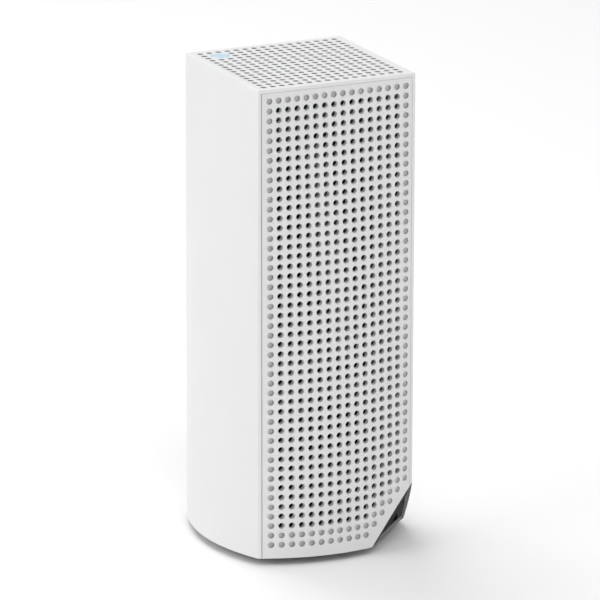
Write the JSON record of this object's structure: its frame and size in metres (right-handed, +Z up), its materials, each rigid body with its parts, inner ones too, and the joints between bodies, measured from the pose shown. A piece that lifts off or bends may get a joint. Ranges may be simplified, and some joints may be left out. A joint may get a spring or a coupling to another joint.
{
  "type": "mesh wifi node",
  "caption": "White tabletop wifi tower with swelling sides, a perforated face and top, a status light, and a port well under a clipped cable corner.",
  "frame": {"origin": "centre of the resting plane, under the rubber foot", "axes": "+Z up along the tower; -Y is the perforated vent face; the clipped cable corner is at +X -Y"},
  "size_m": [0.0794, 0.0794, 0.1836],
  "materials": {
    "white_shell": "fine matte texture, white",
    "white_vent": "fine matte texture, white",
    "lens": "frosted translucent, pale cyan",
    "base_grey": "matte texture, mid dark grey",
    "dark_plastic": "matte texture, dark grey",
    "foot_rubber": "matte",
    "jack_plastic": "matte black",
    "power_plastic": "matte black",
    "contact_gold": "gold flash",
    "steel": "zinc plated",
    "rocker_black": "satin black",
    "button_red": "satin red",
    "board": "solder mask green",
    "chip": "moulded black",
    "pad": "soft grey",
    "sink_aluminium": "extruded, clear",
    "spreader_aluminium": "extruded, clear",
    "shield_tin": "tin plated",
    "frame_plastic": "moulded dark grey",
    "antenna_board": "solder mask black",
    "cable_black": "jacket",
    "led": "clear epoxy",
    "connector": "natural nylon"
  },
  "bodies": {
    "housing": {"sleeve": "white_shell", "vent_panel": "white_vent", "light_pipe": "lens", "base_plate": "base_grey", "rubber_foot": "foot_rubber", "port_well": "dark_plastic", "ethernet_jack_a": "jack_plastic", "ethernet_jack_b": "jack_plastic", "ethernet_contacts": "contact_gold", "power_jack": "power_plastic", "power_jack_pin": "steel", "rocker_housing": "power_plastic", "rocker_terminals": "steel", "reset_switch": "chip", "port_board": "board", "line_transformers": "chip", "filter_capacitors": "sink_aluminium", "chassis_frame": "frame_plastic", "base_screws": "steel", "port_board_screws": "steel", "main_board": "board", "board_connector": "connector", "processor": "chip", "memory_chips": "chip", "switch_chip": "chip", "flash_chip": "chip", "thermal_pads": "pad", "heat_sink": "sink_aluminium", "radio_shields": "shield_tin", "radio_chips": "chip", "shield_pads": "pad", "heat_spreader": "spreader_aluminium", "heat_sink_screws": "steel", "antennas_high_band": "antenna_board", "antennas_low_band": "antenna_board", "antenna_sockets": "contact_gold", "antenna_leads": "cable_black", "led_board": "board", "status_led": "led", "led_wires": "cable_black"},
    "rocker": {"power_rocker": "rocker_black"},
    "reset": {"reset_button": "button_red", "reset_plunger": "connector"}
  },
  "joints": [
    {"name": "power_rocker_tilt", "type": "hinge", "parent": "housing", "child": "rocker", "pos_m": [0.006, -0.0085, 0.0414], "axis": [0, 1, 0], "range_deg": [0, 14]},
    {"name": "reset_press", "type": "slide", "parent": "housing", "child": "reset", "axis": [0, 0, 1], "range_m": [0, 0.0008]}
  ]
}
